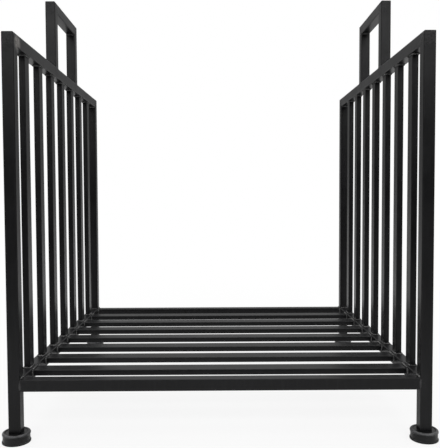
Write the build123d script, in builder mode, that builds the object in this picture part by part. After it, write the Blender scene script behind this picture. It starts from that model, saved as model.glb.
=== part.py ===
from build123d import *
import os

# Firewood rack for the hearth: two barred side panels joined by a slatted floor,
# open at the front, the back and the top, with a carrying handle on each panel.
# X runs from the left panel to the right one, Y from the open front to the back, Z up.
# The origin lies on the ground, in the middle of the rack. All sizes are in millimetres.

# Square tube of the posts, the rails and the handles
tube_size = 16.0
tube_wall = 1.2
tube_corner_radius = 1.6

# Overall frame, over the outside of the tubes
rack_width = 556.5
rack_depth = 508.0
panel_top = 534.5
floor_top = 84.5

# Upright bars of the side panels: flat tube, narrow side to the front
bar_width = 8.8
bar_depth = 18.0
bar_wall = 1.0
bar_corner_radius = 1.3
bar_count = 7
first_bar_setback = 63.0

# Floor slats: flat tube, each in line with a pair of bars
slat_depth = 24.0
slat_thickness = 8.3
slat_wall = 1.0
slat_corner_radius = 1.3
slat_drop = 2.0

# Handles: a square-cornered loop that stands on the top rail
handle_length = 143.0
handle_rise = 104.0
handle_setback = 266.0

# Feet: moulded rubber cups with a rolled rim, pushed on to the ends of the posts
foot_height = 13.8
foot_rim_radius = 18.3
foot_rim_roll = 2.4
foot_top_recess = 1.0
foot_wall_radius = 17.5
foot_base_radius = 18.5
foot_base_height = 2.0
foot_base_slope = 0.8
foot_toe_radius = 0.6
foot_socket_depth = 9.0
foot_socket_clearance = 0.1

# Weld beads: how far a bead reaches out from a corner, and how it tapers round a bar's end
weld_leg = 2.0
weld_taper = 40.0

# Places that follow from the sizes
panel_x = rack_width / 2 - tube_size / 2
post_y = rack_depth / 2 - tube_size / 2
front_face = -rack_depth / 2
foot_seat = foot_height - foot_top_recess
post_bottom = foot_seat - foot_socket_depth
floor_rail_z = floor_top - tube_size / 2
top_rail_z = panel_top - tube_size / 2
rail_underside = panel_top - tube_size
inner_face_x = rack_width / 2 - tube_size
inner_face_y = rack_depth / 2 - tube_size
first_bar_y = front_face + first_bar_setback
bar_pitch = (post_y - first_bar_y) / bar_count
bar_rows = [first_bar_y + bar_pitch * index for index in range(bar_count)]
slat_z = floor_top - slat_drop - slat_thickness / 2
handle_y = front_face + handle_setback
handle_top = panel_top + handle_rise
grip_z = handle_top - tube_size / 2
upright_offset = handle_length / 2 - tube_size / 2
seam_length = tube_size - 2 * tube_corner_radius

sides = {"left": -1, "right": 1}
ends = {"front": -1, "rear": 1}

os.makedirs("parts", exist_ok=True)


def save(builder, name):
    """Label a finished piece and write it to its own file."""
    builder.part.label = name
    export_step(builder.part, f"parts/{name}.step")


def run_of_tube(start, end, width, height, wall, corner_radius):
    """Extrude a flat or square tube in the open part, from one end point to the other."""
    run = Vector(*end) - Vector(*start)
    across = Vector(0, 1, 0) if abs(run.X) > 0 else Vector(1, 0, 0)
    bore_width = width - 2 * wall
    bore_height = height - 2 * wall
    with BuildSketch(Plane(origin=start, x_dir=across, z_dir=run.normalized())) as section:
        RectangleRounded(width, height, corner_radius)
        RectangleRounded(bore_width, bore_height, corner_radius - wall, mode=Mode.SUBTRACT)
    extrude(section.sketch, amount=run.length)


def square_tube(start, end):
    """Extrude the frame's square tube in the open part, from one end point to the other."""
    run_of_tube(start, end, tube_size, tube_size, tube_wall, tube_corner_radius)


def mitre(corner_y, corner_z, inward, keep):
    """Cut the open part at 45 degrees, through an outside corner and down towards the inside."""
    cut = Plane(origin=(0, corner_y, corner_z), x_dir=(1, 0, 0), z_dir=(0, inward, 1))
    split(bisect_by=cut, keep=keep)


# Posts: square cut at the foot, mitred to the top rail
def make_post(side, end, name):
    """One corner post, standing on the floor of its foot's socket."""
    x = side * panel_x
    y = end * post_y
    with BuildPart() as post:
        square_tube((x, y, post_bottom), (x, y, panel_top))
        mitre(end * rack_depth / 2, panel_top, -end, Keep.BOTTOM)
    save(post, name)


# Top rails: mitred to the posts at both ends
def make_top_rail(side, name):
    """The rail along the top of one side panel."""
    x = side * panel_x
    with BuildPart() as rail:
        square_tube((x, -rack_depth / 2, top_rail_z), (x, rack_depth / 2, top_rail_z))
        for end in ends.values():
            mitre(end * rack_depth / 2, panel_top, -end, Keep.TOP)
    save(rail, name)


# Side floor rails: square cut between the front and the rear post
def make_side_floor_rail(side, name):
    """The rail along the foot of one side panel, which also carries the slats."""
    x = side * panel_x
    with BuildPart() as rail:
        square_tube((x, -inner_face_y, floor_rail_z), (x, inner_face_y, floor_rail_z))
    save(rail, name)


# Cross rails: square cut between the left and the right posts
def make_cross_rail(end, name):
    """The rail across the front or the back of the floor."""
    y = end * post_y
    with BuildPart() as rail:
        square_tube((-inner_face_x, y, floor_rail_z), (inner_face_x, y, floor_rail_z))
    save(rail, name)


# Side bars: from the floor rail up to the underside of the top rail
def make_bar(side, y, name):
    """One upright bar of a side panel."""
    x = side * panel_x
    with BuildPart() as bar:
        run_of_tube((x, y, floor_top), (x, y, rail_underside),
                    bar_width, bar_depth, bar_wall, bar_corner_radius)
    save(bar, name)


# Floor slats: between the inner faces of the side floor rails
def make_slat(y, name):
    """One slat of the floor."""
    with BuildPart() as slat:
        run_of_tube((-inner_face_x, y, slat_z), (inner_face_x, y, slat_z),
                    slat_depth, slat_thickness, slat_wall, slat_corner_radius)
    save(slat, name)


# Handles: two uprights and a grip, mitred at the upper corners
def make_handle_upright(side, end, name):
    """One upright of a handle, square cut on the top rail."""
    x = side * panel_x
    y = handle_y + end * upright_offset
    with BuildPart() as upright:
        square_tube((x, y, panel_top), (x, y, handle_top))
        mitre(handle_y + end * handle_length / 2, handle_top, -end, Keep.BOTTOM)
    save(upright, name)


def make_handle_grip(side, name):
    """The level tube that the hand holds."""
    x = side * panel_x
    grip_front = handle_y - handle_length / 2
    grip_rear = handle_y + handle_length / 2
    with BuildPart() as grip:
        square_tube((x, grip_front, grip_z), (x, grip_rear, grip_z))
        for end in ends.values():
            mitre(handle_y + end * handle_length / 2, handle_top, -end, Keep.TOP)
    save(grip, name)


# Feet: a turned outline with a square socket for the post
def make_foot(side, end, name):
    """One rubber foot: a spread base, an upright wall and a rolled rim round a flat top."""
    x = side * panel_x
    y = end * post_y
    outline_plane = Plane(origin=(x, y, 0), x_dir=(1, 0, 0), z_dir=(0, -1, 0))
    toe_start = (foot_base_radius - foot_toe_radius, 0)
    toe_end = (foot_base_radius, foot_toe_radius)
    base_top = (foot_base_radius, foot_base_height)
    wall_bottom = (foot_wall_radius, foot_base_height + foot_base_slope)
    wall_top = (foot_wall_radius, foot_seat)
    rim_centre = (foot_rim_radius - foot_rim_roll, foot_height - foot_rim_roll)
    socket_size = tube_size + 2 * foot_socket_clearance
    socket_corner = tube_corner_radius + foot_socket_clearance
    with BuildPart() as foot:
        with BuildSketch(outline_plane):
            with BuildLine():
                Line((0, 0), toe_start)
                RadiusArc(toe_start, toe_end, -foot_toe_radius)
                Polyline(toe_end, base_top, wall_bottom, wall_top, (0, foot_seat), (0, 0))
            make_face()
            with Locations(rim_centre):
                Circle(foot_rim_roll)
        revolve(axis=Axis((x, y, 0), (0, 0, 1)))
        with BuildSketch(Plane(origin=(x, y, foot_seat))):
            RectangleRounded(socket_size, socket_size, socket_corner)
        extrude(amount=-foot_socket_depth, mode=Mode.SUBTRACT)
    save(foot, name)


# Weld beads: rings round the ends of bars and slats, straight beads in the other corners
def ring_bead(centre, outward, across, width, height, corner_radius):
    """Add a bead right round the end of a tube, tapering away from the face it stands on."""
    seat = Plane(origin=centre, x_dir=across, z_dir=outward)
    with BuildSketch(seat) as toe:
        RectangleRounded(width + 2 * weld_leg, height + 2 * weld_leg, corner_radius + weld_leg)
    with BuildSketch(seat) as tube_outline:
        RectangleRounded(width, height, corner_radius)
    with BuildPart(mode=Mode.PRIVATE) as bead:
        extrude(toe.sketch, amount=weld_leg, taper=weld_taper)
        extrude(tube_outline.sketch, amount=weld_leg, mode=Mode.SUBTRACT)
    add(bead.part)


def straight_bead(corner, first_leg, second_leg):
    """Add a bead in the corner between two flat faces; each leg points away along one face."""
    along = Vector(*first_leg).cross(Vector(*second_leg))
    with BuildSketch(Plane(origin=corner, x_dir=first_leg, z_dir=along)) as section:
        with BuildLine():
            Polyline((0, 0), (weld_leg, 0), (0, weld_leg), close=True)
        make_face()
    extrude(section.sketch, amount=seam_length / 2, both=True)


def make_bar_welds(side, name):
    """The beads round both ends of every bar of one side panel."""
    x = side * panel_x
    with BuildPart() as welds:
        for y in bar_rows:
            ring_bead((x, y, floor_top), (0, 0, 1), (1, 0, 0),
                      bar_width, bar_depth, bar_corner_radius)
            ring_bead((x, y, rail_underside), (0, 0, -1), (1, 0, 0),
                      bar_width, bar_depth, bar_corner_radius)
    save(welds, name)


def make_slat_welds(name):
    """The beads under and beside the ends of every slat, open along the slat's top."""
    with BuildPart() as welds:
        for side in sides.values():
            for y in bar_rows:
                ring_bead((side * inner_face_x, y, slat_z), (-side, 0, 0), (0, 1, 0),
                          slat_depth, slat_thickness, slat_corner_radius)
        split(bisect_by=Plane.XY.offset(floor_top - slat_drop), keep=Keep.BOTTOM)
    save(welds, name)


def make_corner_welds(side, end, name):
    """The beads where the three rails meet one corner post."""
    inward_x = (-side, 0, 0)
    inward_y = (0, -end, 0)
    cross_rail_end_x = side * inner_face_x
    side_rail_end_y = end * inner_face_y
    with BuildPart() as welds:
        for level, direction in ((floor_top, 1), (floor_top - tube_size, -1)):
            straight_bead((cross_rail_end_x, end * post_y, level), inward_x, (0, 0, direction))
            straight_bead((side * panel_x, side_rail_end_y, level), inward_y, (0, 0, direction))
        straight_bead((cross_rail_end_x, side_rail_end_y, floor_rail_z), inward_x, inward_y)
        straight_bead((side * panel_x, side_rail_end_y, rail_underside), inward_y, (0, 0, -1))
    save(welds, name)


def make_handle_welds(side, name):
    """The beads at the foot of both uprights and in the inside corners of the loop."""
    x = side * panel_x
    grip_underside = handle_top - tube_size
    with BuildPart() as welds:
        for end in ends.values():
            outer_y = handle_y + end * handle_length / 2
            inner_y = outer_y - end * tube_size
            straight_bead((x, outer_y, panel_top), (0, end, 0), (0, 0, 1))
            straight_bead((x, inner_y, panel_top), (0, -end, 0), (0, 0, 1))
            straight_bead((x, inner_y, grip_underside), (0, -end, 0), (0, 0, -1))
    save(welds, name)


for side_name, side in sides.items():
    for end_name, end in ends.items():
        make_post(side, end, f"{side_name}_{end_name}_post")
        make_foot(side, end, f"{side_name}_{end_name}_foot")
        make_handle_upright(side, end, f"{side_name}_handle_{end_name}_upright")
        make_corner_welds(side, end, f"{side_name}_{end_name}_corner_welds")
    make_top_rail(side, f"{side_name}_top_rail")
    make_side_floor_rail(side, f"{side_name}_floor_rail")
    make_handle_grip(side, f"{side_name}_handle_grip")
    make_handle_welds(side, f"{side_name}_handle_welds")
    for number, y in enumerate(bar_rows, start=1):
        make_bar(side, y, f"{side_name}_bar_{number}")
    make_bar_welds(side, f"{side_name}_bar_welds")

for end_name, end in ends.items():
    make_cross_rail(end, f"{end_name}_floor_rail")

for number, y in enumerate(bar_rows, start=1):
    make_slat(y, f"floor_slat_{number}")
make_slat_welds("floor_slat_welds")
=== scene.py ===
import math
import random

import bmesh
import bpy
from mathutils import Matrix, Vector


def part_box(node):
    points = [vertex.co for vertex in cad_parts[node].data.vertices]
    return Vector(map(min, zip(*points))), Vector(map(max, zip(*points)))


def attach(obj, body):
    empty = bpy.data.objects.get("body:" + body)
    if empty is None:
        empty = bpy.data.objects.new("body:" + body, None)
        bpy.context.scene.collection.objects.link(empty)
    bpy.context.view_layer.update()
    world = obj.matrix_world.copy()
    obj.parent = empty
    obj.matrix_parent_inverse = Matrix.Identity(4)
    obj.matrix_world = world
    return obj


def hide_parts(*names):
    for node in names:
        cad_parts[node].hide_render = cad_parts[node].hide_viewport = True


# The dressed firewood rack. The CAD tubes and feet keep their meshes and get their finish here.
# The plain CAD welds are replaced by rippled beads and ground seams in the same places.
# X runs from the left panel to the right one, Y from the front to the back, Z up, in metres.

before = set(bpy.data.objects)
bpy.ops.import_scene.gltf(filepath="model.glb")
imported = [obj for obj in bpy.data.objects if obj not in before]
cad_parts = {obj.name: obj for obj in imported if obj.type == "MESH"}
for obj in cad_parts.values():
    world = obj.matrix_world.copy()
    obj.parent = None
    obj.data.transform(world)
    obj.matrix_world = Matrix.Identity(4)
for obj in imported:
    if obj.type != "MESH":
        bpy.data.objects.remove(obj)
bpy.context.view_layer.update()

random.seed(7)

X, Y, Z = Vector((1, 0, 0)), Vector((0, 1, 0)), Vector((0, 0, 1))
SIDES = {"left": -1, "right": 1}
ENDS = {"front": -1, "rear": 1}
BAR_NUMBERS = range(1, 8)

# Places read from the frame. The pieces on the right and at the rear stand for their mirror images.
post_low, post_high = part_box("right_rear_post")
rail_low, rail_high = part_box("right_floor_rail")
top_low, top_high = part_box("right_top_rail")
slat_low, slat_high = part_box("floor_slat_4")
grip_low, grip_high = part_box("right_handle_grip")
HANDLE_UPRIGHTS = {name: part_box(f"right_handle_{name}_upright") for name in ENDS}

TUBE = post_high.x - post_low.x
PANEL_X = (post_low.x + post_high.x) / 2
POST_Y = (post_low.y + post_high.y) / 2
INNER_X, OUTER_X = post_low.x, post_high.x
INNER_Y, OUTER_Y = post_low.y, post_high.y
FLOOR_UNDER, FLOOR_TOP = rail_low.z, rail_high.z
RAIL_UNDER, PANEL_TOP = top_low.z, top_high.z
SLAT_UNDER, SLAT_TOP = slat_low.z, slat_high.z
GRIP_UNDER, GRIP_TOP = grip_low.z, grip_high.z
FOOT_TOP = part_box("right_rear_foot")[1].z

# Corner radii of the tubes
TUBE_CORNER = 0.0016
BAR_CORNER = 0.0013
CORNER_STEPS = 6

# Weld beads: their legs are how far they reach along each of the two faces that they join.
# The end beads go round the ends of bars and slats, the post beads stand inside the floor's corners.
BEAD_LEG = 0.0021
END_BEAD_LEG = 0.0019
POST_BEAD_LEG = 0.0026
BEAD_HALF_RUN = TUBE / 2 - TUBE_CORNER
SLAT_BEAD_INSET = 0.001
BEAD_STEP = 0.00028
SECTION_STEPS = 6

# The pitch of a bead's ripples, and of its coarse lumps as a count of ripples
RIPPLE = 0.0014
COARSE_PITCH = 3.3

# Shares of a bead's leg: its crown, the depth of ripples and lumps, the length of an open end.
# A ripple's own height runs from 0 to 1, less the mean, and an open end's from the least to 1.
CROWN = 0.30
RIPPLE_SWING = 0.20
RIPPLE_MEAN = 0.6
FINE_LUMPS = 0.10
COARSE_LUMPS = 0.16
END_TAPER = 0.9
END_LEAST = 0.02

# Ground seams: low ribbons with an uneven edge, given by their full width and height.
# The section and the unevenness are shares of the width and height. The seam sinks in a little.
GROUND_SEAM = (0.0034, 0.00028)
MITRE_SEAM = (0.0026, 0.0002)
SEAM_SECTION = ((-1, 0), (-0.6, 0.75), (0, 1), (0.6, 0.75), (1, 0))
SEAM_STEP = 0.0008
SEAM_UNEVEN_WIDTH = 0.22
SEAM_UNEVEN_HEIGHT = 0.35
SEAM_STRAY = 0.00025
SEAM_SINK = 0.00004
HANDLE_SEAM_DROP = 0.0004

# Colours of the coat, the welds, the feet and the studio, as linear red, green, blue and alpha
COAT_DARK = (0.0034, 0.0034, 0.0038, 1.0)
COAT_PALE = (0.0056, 0.0056, 0.0062, 1.0)
COAT_STREAK = (0.014, 0.014, 0.0152, 1.0)
COAT_GROUND = (0.026, 0.025, 0.026, 1.0)
# Rubbed coat on the tube edges, also a painted highlight
COAT_RUBBED_AND_HIGHLIGHT = (0.060, 0.059, 0.060, 1.0)
BARE_STEEL = (0.240, 0.226, 0.212, 1.0)
WELD_DARK = (0.004, 0.004, 0.0043, 1.0)
WELD_PALE = (0.024, 0.024, 0.0245, 1.0)
# Painted highlight on the crests of the welds
WELD_CREST_HIGHLIGHT = (0.11, 0.108, 0.106, 1.0)
RUBBER_DARK = (0.0035, 0.0035, 0.0039, 1.0)
RUBBER_PALE = (0.0075, 0.0075, 0.0082, 1.0)
RUBBER_SCUFF = (0.020, 0.020, 0.021, 1.0)
# Painted shade on the feet near the floor
RUBBER_FLOOR_SHADE = (0.004, 0.004, 0.0045, 1.0)
# Painted shade in the groove under the feet's rim
RUBBER_GROOVE_SHADE = (0.0022, 0.0022, 0.0024, 1.0)
# Rim wear and a painted highlight on the feet
RUBBER_RIM_WEAR_AND_HIGHLIGHT = (0.110, 0.110, 0.114, 1.0)
PAPER_DARK = (0.72, 0.72, 0.72, 1.0)
PAPER_PALE = (0.75, 0.75, 0.75, 1.0)
WHITE = (1.0, 1.0, 1.0, 1.0)

# The bare patch: a spot on the inner face of the left front post, under its top
BARE_PLACE = (-INNER_X, -INNER_Y - 0.001, PANEL_TOP - 0.011)
BARE_INNER, BARE_OUTER = 0.006, 0.014

# The radius over which a tube's edge is rubbed and lightened with a painted highlight
EDGE_RADIUS = 0.0011

# Round each welded joint the coat is mottled within the inner distance and plain past the outer one
JOINT_INNER, JOINT_OUTER = 0.008, 0.021

# The feet, below their tops and from the post's axis: the groove darkened with painted shade, and where
# the rim's wear and painted highlight begins and is full, in height and in radius
GROOVE_DROP = 0.0052
RIM_DROP_LOW, RIM_DROP_HIGH = 0.0032, 0.0012
RIM_REACH_IN, RIM_REACH_OUT = 0.0150, 0.0162

# The floor's size, and its share of white to the camera, from the near reach to the far one.
# Glossy faces see a small share of the white, in the floor and in the world.
FLOOR_SIZE = 40.0
FLOOR_FRONT = -1.15
NEAR_WHITE = 0.84
NEAR_REACH, FAR_REACH = 0.35, 1.3
GLOSSY_SHARE = 0.12

# The camera, fitted to the photo. The frame and the focal length are in pixels, the sensor in
# millimetres and the angles in degrees.
SENSOR_WIDTH = 36.0
PHOTO_WIDTH = 440.0
FOCAL_PIXELS = 573.35
CAMERA_PLACE = (-0.00346, -0.99473, 0.31702)
CAMERA_YAW, CAMERA_PITCH, CAMERA_ROLL = 0.287, 2.300, -0.243


class Tree:
    """Short names for building a node tree."""

    def __init__(self, node_tree):
        self.node_tree = node_tree
        node_tree.nodes.clear()

    def add(self, kind, **settings):
        node = self.node_tree.nodes.new(kind)
        for key, value in settings.items():
            setattr(node, key, value)
        return node

    def put(self, value, socket):
        """Link a socket to a socket, or set a plain value on it."""
        if hasattr(value, "is_output"):
            self.node_tree.links.new(value, socket)
        else:
            socket.default_value = value

    def place(self):
        return self.add("ShaderNodeTexCoord").outputs["Object"]

    def math(self, operation, a, b=0.0, clamp=False):
        node = self.add("ShaderNodeMath", operation=operation, use_clamp=clamp)
        self.put(a, node.inputs[0])
        self.put(b, node.inputs[1])
        return node.outputs[0]

    def plus(self, a, b):
        return self.math("ADD", a, b)

    def minus(self, a, b):
        return self.math("SUBTRACT", a, b)

    def times(self, a, b):
        return self.math("MULTIPLY", a, b)

    def larger(self, a, b):
        return self.math("MAXIMUM", a, b)

    def unsigned(self, a):
        return self.math("ABSOLUTE", a)

    def vector_math(self, operation, a, b=(0.0, 0.0, 0.0)):
        node = self.add("ShaderNodeVectorMath", operation=operation)
        self.put(a, node.inputs[0])
        self.put(b, node.inputs[1])
        return node.outputs["Value"]

    def split(self, vector):
        node = self.add("ShaderNodeSeparateXYZ")
        self.put(vector, node.inputs[0])
        return node.outputs["X"], node.outputs["Y"], node.outputs["Z"]

    def join(self, x, y, z):
        node = self.add("ShaderNodeCombineXYZ")
        self.put(x, node.inputs[0])
        self.put(y, node.inputs[1])
        self.put(z, node.inputs[2])
        return node.outputs[0]

    def stretched(self, vector, scale):
        node = self.add("ShaderNodeMapping")
        node.inputs["Scale"].default_value = scale
        self.put(vector, node.inputs["Vector"])
        return node.outputs[0]

    def noise(self, vector, scale, detail=2.0, roughness=0.5, distortion=0.0):
        node = self.add("ShaderNodeTexNoise")
        self.put(vector, node.inputs["Vector"])
        node.inputs["Scale"].default_value = scale
        node.inputs["Detail"].default_value = detail
        node.inputs["Roughness"].default_value = roughness
        node.inputs["Distortion"].default_value = distortion
        return node.outputs["Fac"]

    def span(self, value, low, high, to_low=0.0, to_high=1.0, smooth=False):
        """Map a value from between low and high to between to_low and to_high, and no further."""
        node = self.add("ShaderNodeMapRange")
        if smooth:
            node.interpolation_type = "SMOOTHSTEP"
        node.clamp = True
        self.put(value, node.inputs["Value"])
        node.inputs["From Min"].default_value = low
        node.inputs["From Max"].default_value = high
        node.inputs["To Min"].default_value = to_low
        node.inputs["To Max"].default_value = to_high
        return node.outputs[0]

    def mix(self, factor, a, b):
        """Mix two colours. The node's colour sockets come after those for numbers and vectors."""
        node = self.add("ShaderNodeMix", data_type="RGBA")
        self.put(factor, node.inputs["Factor"])
        self.put(a, node.inputs[6])
        self.put(b, node.inputs[7])
        return node.outputs[2]

    def mix_shaders(self, factor, a, b):
        node = self.add("ShaderNodeMixShader")
        self.put(factor, node.inputs[0])
        self.put(a, node.inputs[1])
        self.put(b, node.inputs[2])
        return node.outputs[0]

    def bump(self, height, strength, distance, normal=None):
        node = self.add("ShaderNodeBump")
        node.inputs["Strength"].default_value = strength
        node.inputs["Distance"].default_value = distance
        self.put(height, node.inputs["Height"])
        if normal is not None:
            self.put(normal, node.inputs["Normal"])
        return node.outputs["Normal"]

    def end(self, shader, kind="ShaderNodeOutputMaterial"):
        self.put(shader, self.add(kind).inputs["Surface"])

    def end_principled(self, base, rough, normal, specular):
        node = self.add("ShaderNodeBsdfPrincipled")
        node.inputs["Specular IOR Level"].default_value = specular
        self.put(base, node.inputs["Base Color"])
        self.put(rough, node.inputs["Roughness"])
        self.put(normal, node.inputs["Normal"])
        self.end(node.outputs[0])


def new_material(name):
    material = bpy.data.materials.new(name)
    material.use_nodes = True
    return material, Tree(material.node_tree)


def joint_mask(tree, place):
    """1 close to any welded joint of posts, rails and handles, and 0 away from them."""
    x, y, z = tree.split(place)
    folded_once = tree.join(tree.unsigned(x), y, z)
    folded_twice = tree.join(tree.unsigned(x), tree.unsigned(y), z)
    joints = [
        (folded_twice, (INNER_X, INNER_Y, (FLOOR_TOP + FLOOR_UNDER) / 2)),
        (folded_twice, (PANEL_X, POST_Y, (PANEL_TOP + RAIL_UNDER) / 2)),
    ]
    for low, high in HANDLE_UPRIGHTS.values():
        middle_y = (low.y + high.y) / 2
        joints.append((folded_once, (PANEL_X, middle_y, PANEL_TOP)))
        joints.append((folded_once, (PANEL_X, middle_y, GRIP_TOP - TUBE / 2)))
    total = 0.0
    for folded, joint in joints:
        distance = tree.vector_math("DISTANCE", folded, joint)
        near = tree.span(distance, JOINT_INNER, JOINT_OUTER, 1.0, 0.0, smooth=True)
        total = tree.larger(total, near)
    return total


def edge_mask(tree, normal):
    """1 along the edges of the tubes, where a rounded normal turns away from the face's own."""
    rounded = tree.add("ShaderNodeBevel", samples=4)
    rounded.inputs["Radius"].default_value = EDGE_RADIUS
    agreement = tree.vector_math("DOT_PRODUCT", rounded.outputs[0], normal)
    return tree.span(agreement, 0.995, 0.93)


def bare_mask(tree, place, normal, mottle):
    """The spot on the left front post where the coat is rubbed through, on its inner face alone."""
    distance = tree.vector_math("DISTANCE", place, BARE_PLACE)
    spot = tree.span(distance, BARE_INNER, BARE_OUTER, 1.0, 0.0, smooth=True)
    inner_face = tree.span(tree.split(normal)[0], 0.5, 0.9)
    return tree.times(tree.times(spot, inner_face), tree.span(mottle, 0.38, 0.60, 0.4, 1.0))


def coated_steel():
    """Satin black powder coat on steel tube: fine grain, clouds, edges rubbed and lightened with a
    painted highlight, mottled joints.
    """
    material, tree = new_material("coated_steel")
    place = tree.place()
    face_normal = tree.add("ShaderNodeNewGeometry").outputs["Normal"]

    grain = tree.noise(place, 900.0, detail=3.0, roughness=0.6)
    peel = tree.noise(place, 260.0)
    cloud = tree.noise(place, 14.0, detail=4.0, roughness=0.6, distortion=0.4)
    mottle = tree.noise(place, 330.0, detail=3.0, roughness=0.6, distortion=0.8)
    streak = tree.noise(tree.stretched(place, (1.0, 1.0, 0.12)), 180.0, detail=3.0, roughness=0.65)
    wear = tree.noise(place, 70.0, detail=4.0, roughness=0.7)

    # Edges of the tubes: rubbed coat and a painted highlight
    rub_and_highlight = tree.times(edge_mask(tree, face_normal), tree.span(wear, 0.35, 0.65, 0.25, 1.0))
    near_joint = joint_mask(tree, place)
    ground = tree.times(near_joint, tree.span(mottle, 0.42, 0.62))
    bare = bare_mask(tree, place, face_normal, mottle)

    base = tree.mix(tree.span(cloud, 0.35, 0.7), COAT_DARK, COAT_PALE)
    base = tree.mix(tree.times(tree.span(streak, 0.5, 0.75), 0.35), base, COAT_STREAK)
    base = tree.mix(tree.times(ground, 0.6), base, COAT_GROUND)
    # Paler edges: rubbed coat and a painted highlight
    base = tree.mix(tree.times(rub_and_highlight, 0.8), base, COAT_RUBBED_AND_HIGHLIGHT)
    base = tree.mix(tree.times(bare, 0.85), base, BARE_STEEL)

    rough = tree.span(cloud, 0.3, 0.75, 0.31, 0.40)
    rough = tree.plus(rough, tree.times(tree.minus(grain, 0.5), 0.16))
    rough = tree.math("ADD", rough, tree.times(ground, 0.10), clamp=True)

    height = tree.plus(tree.times(grain, 0.35), tree.times(peel, 0.65))
    normal = tree.bump(height, strength=0.35, distance=0.00035)
    normal = tree.bump(tree.times(near_joint, mottle), strength=0.8, distance=0.0006, normal=normal)
    tree.end_principled(base, rough, normal, specular=0.20)
    return material


def coated_weld():
    """The same coat over a weld bead, with its crests made paler as a painted highlight."""
    material, tree = new_material("coated_weld")
    place = tree.place()
    pointiness = tree.add("ShaderNodeNewGeometry").outputs["Pointiness"]
    grain = tree.noise(place, 1100.0, detail=3.0, roughness=0.6)
    cloud = tree.noise(place, 160.0, detail=3.0, roughness=0.6)
    # Painted highlight where the bead is sharpest: its crests
    crest_highlight = tree.span(pointiness, 0.49, 0.56)
    patch = tree.span(cloud, 0.42, 0.60, smooth=True)

    base = tree.mix(patch, WELD_DARK, WELD_PALE)
    base = tree.mix(tree.times(crest_highlight, tree.times(patch, 0.8)), base, WELD_CREST_HIGHLIGHT)
    rough = tree.math("ADD", tree.span(patch, 0.0, 1.0, 0.38, 0.14), tree.times(grain, 0.08), clamp=True)
    normal = tree.bump(grain, strength=0.4, distance=0.0003)
    tree.end_principled(base, rough, normal, specular=0.5)
    return material


def rim_wear_and_highlight_mask(tree, place, patch):
    """The top of a foot's rolled rim, paler than the rest of the foot with wear and a painted highlight.
    """
    x, y, z = tree.split(place)
    from_post_x = tree.minus(tree.unsigned(x), PANEL_X)
    from_post_y = tree.minus(tree.unsigned(y), POST_Y)
    reach = tree.vector_math("LENGTH", tree.join(from_post_x, from_post_y, 0.0))
    high = tree.span(z, FOOT_TOP - RIM_DROP_LOW, FOOT_TOP - RIM_DROP_HIGH, smooth=True)
    outside = tree.span(reach, RIM_REACH_IN, RIM_REACH_OUT, smooth=True)
    return tree.times(tree.times(high, outside), tree.span(patch, 0.35, 0.6, 0.5, 1.0))


def foot_rubber():
    """Moulded black rubber: scuffs, painted shade in a groove under the rim, a rim paler with wear and a
    painted highlight, painted shade at the floor.
    """
    material, tree = new_material("foot_rubber")
    place = tree.place()
    z = tree.split(place)[2]
    grain = tree.noise(place, 1400.0, detail=3.0, roughness=0.6)
    patch = tree.noise(place, 120.0, detail=4.0, roughness=0.6, distortion=0.5)
    scuff = tree.noise(tree.stretched(place, (1.0, 1.0, 5.0)), 240.0, detail=3.0, roughness=0.7)
    # Painted shade: the foot darker towards the floor
    low = tree.span(z, 0.0, 0.005, 1.0, 0.0, smooth=True)
    # Painted shade in the groove under the rim
    from_groove = tree.unsigned(tree.minus(z, FOOT_TOP - GROOVE_DROP))
    groove_shade = tree.span(from_groove, 0.0003, 0.0013, 1.0, 0.0, smooth=True)
    # Pale rim: wear and a painted highlight
    rim_wear_and_highlight = rim_wear_and_highlight_mask(tree, place, patch)

    base = tree.mix(tree.span(patch, 0.35, 0.7), RUBBER_DARK, RUBBER_PALE)
    base = tree.mix(tree.times(tree.span(scuff, 0.55, 0.75), 0.5), base, RUBBER_SCUFF)
    base = tree.mix(tree.times(low, 0.6), base, RUBBER_FLOOR_SHADE)
    base = tree.mix(tree.times(groove_shade, 0.7), base, RUBBER_GROOVE_SHADE)
    base = tree.mix(tree.times(rim_wear_and_highlight, 0.7), base, RUBBER_RIM_WEAR_AND_HIGHLIGHT)
    rough = tree.span(patch, 0.3, 0.75, 0.26, 0.38)
    height = tree.plus(grain, tree.times(scuff, 0.8))
    normal = tree.bump(height, strength=0.35, distance=0.0003)
    tree.end_principled(base, rough, normal, specular=0.28)
    return material


STEEL = coated_steel()
WELD = coated_weld()
RUBBER = foot_rubber()

# The order of the materials on a bead's mesh
WELD_SLOT, STEEL_SLOT = 0, 1


# The CAD tubes and feet keep their shapes
for name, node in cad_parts.items():
    if name.endswith("_welds"):
        continue
    node.data.materials.clear()
    node.data.materials.append(RUBBER if name.endswith("_foot") else STEEL)
    for polygon in node.data.polygons:
        polygon.material_index = 0


# Weld beads and ground seams
def bead_section(first, second, leg):
    """Points of a fillet's section in a corner, from one face to the other, slightly crowned."""
    points = [Vector((0, 0, 0))]
    for step in range(SECTION_STEPS + 1):
        t = step / SECTION_STEPS
        flat = first * (leg * (1 - t)) + second * (leg * t)
        crown = (first + second).normalized() * (CROWN * leg * math.sin(math.pi * t))
        points.append(flat + crown)
    return points


def bridge(beads, rows, material_slot):
    """Join each row of points to the next one with a closed band of faces."""
    for row, following in zip(rows, rows[1:]):
        for k in range(len(row)):
            m = (k + 1) % len(row)
            face = beads.faces.new((row[k], row[m], following[m], following[k]))
            face.material_index = material_slot


def cap(beads, rows, material_slot):
    """Close both ends of a run of rows."""
    beads.faces.new(list(reversed(rows[0]))).material_index = material_slot
    beads.faces.new(rows[-1]).material_index = material_slot


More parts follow.
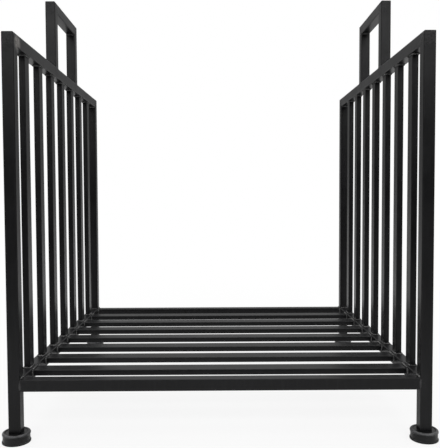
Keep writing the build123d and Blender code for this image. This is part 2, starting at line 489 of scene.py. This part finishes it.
def lay_bead(beads, path, leg, closed=False):
    """Lay one rippled bead along a path of (place, first direction, second direction)."""
    lengths = [0.0]
    for (a, _, _), (b, _, _) in zip(path, path[1:]):
        lengths.append(lengths[-1] + (b - a).length)
    total = lengths[-1]
    steps = max(8, int(total / BEAD_STEP))
    phase = random.random()
    wobble = [random.uniform(-1, 1) for _ in range(int(total / RIPPLE) + 3)]
    rings = []
    segment = 0
    for index in range(steps if closed else steps + 1):
        along = total * index / steps
        while segment < len(lengths) - 2 and lengths[segment + 1] < along:
            segment += 1
        run = max(lengths[segment + 1] - lengths[segment], 1e-9)
        t = (along - lengths[segment]) / run
        place, first, second = (a.lerp(b, t) for a, b in zip(path[segment], path[segment + 1]))

        wave = along / RIPPLE + phase
        within = wave - math.floor(wave)
        scallop = math.sqrt(max(0.0, 1 - (2 * within - 1) ** 2)) - RIPPLE_MEAN
        fine = wobble[int(along / RIPPLE)]
        coarse = wobble[int(along / (COARSE_PITCH * RIPPLE))]
        lumps = FINE_LUMPS * fine + COARSE_LUMPS * coarse
        size = leg * (1 + RIPPLE_SWING * scallop + lumps)
        if not closed:
            from_end = min(along, total - along) / (END_TAPER * leg)
            size *= math.sqrt(max(END_LEAST, 1 - (1 - min(from_end, 1)) ** 2))
        section = bead_section(first.normalized(), second.normalized(), size)
        rings.append([beads.verts.new(place + point) for point in section])
    if closed:
        bridge(beads, rings + rings[:1], WELD_SLOT)
    else:
        bridge(beads, rings, WELD_SLOT)
        cap(beads, rings, WELD_SLOT)


def straight_bead(beads, start, end, first, second, leg=BEAD_LEG):
    """Lay one bead in a straight corner; first and second point away along its two faces."""
    lay_bead(beads, [(Vector(start), first, second), (Vector(end), first, second)], leg)


def ring_bead(beads, centre, half_x, half_y, out):
    """Lay one bead right round the end of a bar; out points from the rail along the bar."""
    path = []
    for side_x, side_y, start in ((1, 1, 0), (-1, 1, 90), (-1, -1, 180), (1, -1, 270)):
        middle = centre + X * (side_x * (half_x - BAR_CORNER)) + Y * (side_y * (half_y - BAR_CORNER))
        for step in range(CORNER_STEPS + 1):
            angle = math.radians(start + 90 * step / CORNER_STEPS)
            outward = X * math.cos(angle) + Y * math.sin(angle)
            path.append((middle + outward * BAR_CORNER, outward, out))
    lay_bead(beads, path + path[:1], END_BEAD_LEG, closed=True)


def flush_seam(beads, start, end, normal, size):
    """A ground joint: a low ribbon with an uneven edge, lying on a flat face."""
    width, height = size
    start, end = Vector(start), Vector(end)
    run = end - start
    across = run.normalized().cross(normal)
    steps = max(6, int(run.length / SEAM_STEP))
    rows = []
    for index in range(steps + 1):
        t = index / steps
        fade = math.sin(math.pi * min(max(t, 0.02), 0.98)) ** 0.4
        half = width / 2 * fade * (1 + random.uniform(-SEAM_UNEVEN_WIDTH, SEAM_UNEVEN_WIDTH))
        lift = height * fade * (1 + random.uniform(-SEAM_UNEVEN_HEIGHT, SEAM_UNEVEN_HEIGHT))
        place = start + run * t + across * random.uniform(-SEAM_STRAY, SEAM_STRAY)
        section = [place + across * (half * sideways) + normal * (lift * up - SEAM_SINK)
                   for sideways, up in SEAM_SECTION]
        rows.append([beads.verts.new(point) for point in section])
    bridge(beads, rows, STEEL_SLOT)
    cap(beads, rows, STEEL_SLOT)


def run_along_x(x, y, z):
    """Both ends of a bead across the flat of a tube, in the direction of X."""
    return (x - BEAD_HALF_RUN, y, z), (x + BEAD_HALF_RUN, y, z)


def run_along_y(x, y, z):
    """Both ends of a bead across the flat of a tube, in the direction of Y."""
    return (x, y - BEAD_HALF_RUN, z), (x, y + BEAD_HALF_RUN, z)


def finish_beads(beads, name, replaced):
    """Turn the beads into one piece that stands for a CAD node of welds."""
    bmesh.ops.recalc_face_normals(beads, faces=beads.faces)
    mesh = bpy.data.meshes.new(name)
    beads.to_mesh(mesh)
    beads.free()
    for polygon in mesh.polygons:
        polygon.use_smooth = True
    piece = bpy.data.objects.new(name, mesh)
    bpy.context.scene.collection.objects.link(piece)
    mesh.materials.append(WELD)
    mesh.materials.append(STEEL)
    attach(piece, "root")
    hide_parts(replaced)


def weld_bars(side_name):
    """Beads round both ends of every bar of one side panel."""
    beads = bmesh.new()
    for number in BAR_NUMBERS:
        low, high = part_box(f"{side_name}_bar_{number}")
        middle_y = (low.y + high.y) / 2
        half_x, half_y = (high.x - low.x) / 2, (high.y - low.y) / 2
        for level, out in ((FLOOR_TOP, Z), (RAIL_UNDER, -Z)):
            centre = Vector((SIDES[side_name] * PANEL_X, middle_y, level))
            ring_bead(beads, centre, half_x, half_y, out)
    finish_beads(beads, f"{side_name}_bar_weld_beads", f"{side_name}_bar_welds")


def weld_corner(side_name, end_name):
    """Beads and ground seams where the rails meet one corner post."""
    side, end = SIDES[side_name], ENDS[end_name]
    panel_x, inner_x, outer_x = side * PANEL_X, side * INNER_X, side * OUTER_X
    post_y, inner_y, outer_y = end * POST_Y, end * INNER_Y, end * OUTER_Y
    beads = bmesh.new()

    for level, out in ((FLOOR_TOP, Z), (FLOOR_UNDER, -Z)):
        straight_bead(beads, *run_along_y(inner_x, post_y, level), -side * X, out)
        straight_bead(beads, *run_along_x(panel_x, inner_y, level), -end * Y, out)
    straight_bead(beads, (inner_x, inner_y, FLOOR_UNDER + TUBE_CORNER),
                  (inner_x, inner_y, FLOOR_TOP - TUBE_CORNER / 2), -side * X, -end * Y, POST_BEAD_LEG)
    straight_bead(beads, *run_along_x(panel_x, inner_y, RAIL_UNDER), -end * Y, -Z)

    flush_seam(beads, (inner_x, outer_y, FLOOR_UNDER + TUBE_CORNER),
               (inner_x, outer_y, FLOOR_TOP - TUBE_CORNER), end * Y, GROUND_SEAM)
    flush_seam(beads, (outer_x, inner_y, FLOOR_UNDER + TUBE_CORNER),
               (outer_x, inner_y, FLOOR_TOP - TUBE_CORNER), side * X, GROUND_SEAM)
    for face_x, out in ((outer_x, side * X), (inner_x, -side * X)):
        flush_seam(beads, (face_x, outer_y - end * TUBE_CORNER, PANEL_TOP - TUBE_CORNER),
                   (face_x, inner_y + end * TUBE_CORNER, RAIL_UNDER + TUBE_CORNER), out, MITRE_SEAM)
    finish_beads(beads, f"{side_name}_{end_name}_corner_weld_beads",
                 f"{side_name}_{end_name}_corner_welds")


def weld_handle(side_name):
    """Beads at the foot of one handle and in its inside corners, and seams on its ground faces."""
    side = SIDES[side_name]
    panel_x = side * PANEL_X
    beads = bmesh.new()
    for end_name, end in ENDS.items():
        low, high = HANDLE_UPRIGHTS[end_name]
        outer_y, inner_y = (low.y, high.y) if end < 0 else (high.y, low.y)
        straight_bead(beads, *run_along_x(panel_x, outer_y, PANEL_TOP), end * Y, Z)
        straight_bead(beads, *run_along_x(panel_x, inner_y, PANEL_TOP), -end * Y, Z)
        straight_bead(beads, *run_along_x(panel_x, inner_y, GRIP_UNDER), -end * Y, -Z)
        for face_x, out in ((side * OUTER_X, side * X), (side * INNER_X, -side * X)):
            level = PANEL_TOP - HANDLE_SEAM_DROP
            flush_seam(beads, (face_x, outer_y, level), (face_x, inner_y, level), out, GROUND_SEAM)
            flush_seam(beads, (face_x, outer_y - end * TUBE_CORNER, GRIP_TOP - TUBE_CORNER),
                       (face_x, inner_y + end * TUBE_CORNER, GRIP_UNDER + TUBE_CORNER), out, MITRE_SEAM)
    finish_beads(beads, f"{side_name}_handle_weld_beads", f"{side_name}_handle_welds")


def weld_slats():
    """Beads over, under and beside both ends of every slat."""
    beads = bmesh.new()
    for number in BAR_NUMBERS:
        low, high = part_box(f"floor_slat_{number}")
        front_y, rear_y = low.y + SLAT_BEAD_INSET, high.y - SLAT_BEAD_INSET
        for side in SIDES.values():
            x = side * high.x
            inward = -side * X
            for level, out, leg in ((SLAT_TOP, Z, END_BEAD_LEG), (SLAT_UNDER, -Z, BEAD_LEG)):
                straight_bead(beads, (x, front_y, level), (x, rear_y, level), inward, out, leg)
            for y, away in ((low.y, -Y), (high.y, Y)):
                straight_bead(beads, (x, y, SLAT_UNDER), (x, y, SLAT_TOP), inward, away, END_BEAD_LEG)
    finish_beads(beads, "floor_slat_weld_beads", "floor_slat_welds")


for side_name in SIDES:
    weld_bars(side_name)
    for end_name in ENDS:
        weld_corner(side_name, end_name)
    weld_handle(side_name)
weld_slats()


# Floor, light and camera
def white_rays(tree):
    """The rays that find the background white: those from the camera or glass, and glossy ones."""
    path = tree.add("ShaderNodeLightPath")
    direct = tree.larger(path.outputs["Is Camera Ray"], path.outputs["Is Transmission Ray"])
    return direct, path.outputs["Is Glossy Ray"]


def floor_plane():
    """Pale paper. The camera sees it white far away, and partly as it is lit near the rack."""
    mesh = bpy.data.meshes.new("studio_floor")
    corners = [(-FLOOR_SIZE, FLOOR_FRONT, 0), (FLOOR_SIZE, FLOOR_FRONT, 0),
               (FLOOR_SIZE, FLOOR_SIZE, 0), (-FLOOR_SIZE, FLOOR_SIZE, 0)]
    mesh.from_pydata(corners, [], [(0, 1, 2, 3)])
    floor = bpy.data.objects.new("studio_floor", mesh)
    bpy.context.scene.collection.objects.link(floor)

    material, tree = new_material("studio_paper")
    place = tree.place()
    tone = tree.span(tree.noise(place, 3.0, detail=3.0), 0.3, 0.7)
    lit = tree.add("ShaderNodeBsdfDiffuse")
    tree.put(tree.mix(tone, PAPER_DARK, PAPER_PALE), lit.inputs["Color"])
    white = tree.add("ShaderNodeEmission")
    white.inputs["Strength"].default_value = 1.0

    reach = tree.vector_math("LENGTH", place)
    white_share = tree.span(reach, NEAR_REACH, FAR_REACH, NEAR_WHITE, 1.0, smooth=True)
    direct, glossy = white_rays(tree)
    shown = tree.larger(tree.times(direct, white_share), tree.times(glossy, GLOSSY_SHARE))
    tree.end(tree.mix_shaders(shown, lit.outputs[0], white.outputs[0]))
    mesh.materials.append(material)


def background(tree, strength):
    node = tree.add("ShaderNodeBackground")
    node.inputs["Color"].default_value = WHITE
    tree.put(strength, node.inputs["Strength"])
    return node.outputs[0]


def studio_world():
    """White to the camera. As a light it is bright above and behind, dim at the level front."""
    world = bpy.data.worlds.new("studio")
    bpy.context.scene.world = world
    world.use_nodes = True
    tree = Tree(world.node_tree)
    _, back, up = tree.split(tree.add("ShaderNodeTexCoord").outputs["Generated"])
    behind = tree.span(back, -0.35, 0.45, smooth=True)
    front_level = tree.span(up, 0.12, 0.50, 0.02, 0.80, smooth=True)
    back_level = tree.span(up, 0.15, 0.75, 0.25, 1.10, smooth=True)
    level = tree.plus(tree.times(behind, back_level), tree.times(tree.minus(1.0, behind), front_level))

    direct, glossy = white_rays(tree)
    shown = tree.larger(direct, tree.times(glossy, tree.times(behind, GLOSSY_SHARE)))
    mixed = tree.mix_shaders(shown, background(tree, level), background(tree, 1.0))
    tree.end(mixed, "ShaderNodeOutputWorld")


def soft_box(name, place, target, size, watts):
    data = bpy.data.lights.new(name, "AREA")
    data.shape = "RECTANGLE"
    data.size, data.size_y = size
    data.energy = watts
    lamp = bpy.data.objects.new(name, data)
    lamp.location = place
    lamp.rotation_euler = (Vector(target) - Vector(place)).to_track_quat("-Z", "Y").to_euler()
    bpy.context.scene.collection.objects.link(lamp)


def photo_camera():
    """The camera at the photo's viewing angle, turned by its yaw, pitch and roll in that order."""
    data = bpy.data.cameras.new("camera")
    data.sensor_fit = "HORIZONTAL"
    data.sensor_width = SENSOR_WIDTH
    data.lens = SENSOR_WIDTH * FOCAL_PIXELS / PHOTO_WIDTH
    data.clip_start = 0.01
    data.clip_end = 200.0
    camera = bpy.data.objects.new("camera", data)
    bpy.context.scene.collection.objects.link(camera)
    yaw, pitch, roll = (math.radians(angle) for angle in (CAMERA_YAW, CAMERA_PITCH, CAMERA_ROLL))
    forward = Vector((math.sin(yaw) * math.cos(pitch), math.cos(yaw) * math.cos(pitch), -math.sin(pitch)))
    level_right = Vector((math.cos(yaw), -math.sin(yaw), 0.0))
    level_up = level_right.cross(forward)
    right = level_right * math.cos(roll) + level_up * math.sin(roll)
    up = level_up * math.cos(roll) - level_right * math.sin(roll)
    turn = Matrix((right, up, -forward)).transposed().to_4x4()
    camera.matrix_world = Matrix.Translation(CAMERA_PLACE) @ turn
    bpy.context.scene.camera = camera


floor_plane()
studio_world()
soft_box("overhead_softbox", place=(0.0, 0.35, 2.1), target=(0.0, 0.05, 0.0), size=(1.8, 1.4), watts=22.0)
soft_box("front_softbox", place=(0.0, -1.95, 1.35), target=(0.0, 0.0, 0.65), size=(3.2, 0.6), watts=24.0)
photo_camera()
bpy.context.scene.view_settings.view_transform = "Standard"
